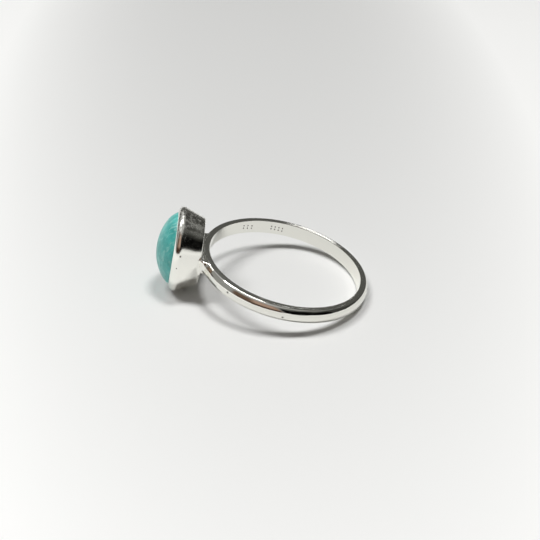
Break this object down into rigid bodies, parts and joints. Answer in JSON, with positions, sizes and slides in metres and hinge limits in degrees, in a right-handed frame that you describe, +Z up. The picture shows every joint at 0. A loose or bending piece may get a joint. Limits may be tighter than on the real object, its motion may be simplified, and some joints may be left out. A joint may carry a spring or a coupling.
{
  "type": "cabochon finger ring",
  "caption": "Slim silver-coloured finger ring with an oval blue-green domed stone in a tapered bezel cup, lying on its side.",
  "frame": {"origin": "on the surface that the ring lies on, under the middle of its bounding box", "axes": "+Z is up; -X points to the stone, and the finger hole's axis leans from +Z towards +X by the angle at which the ring lies"},
  "size_m": [0.0236, 0.0192, 0.0098],
  "materials": {
    "silver": "polished sterling silver with fine wear lines and a few small pits",
    "amazonite": "opaque blue-green feldspar, cloudy, with a soft polish"
  },
  "bodies": {
    "root": {"ring_mount": "silver", "amazonite_cabochon": "amazonite"}
  },
  "joints": []
}
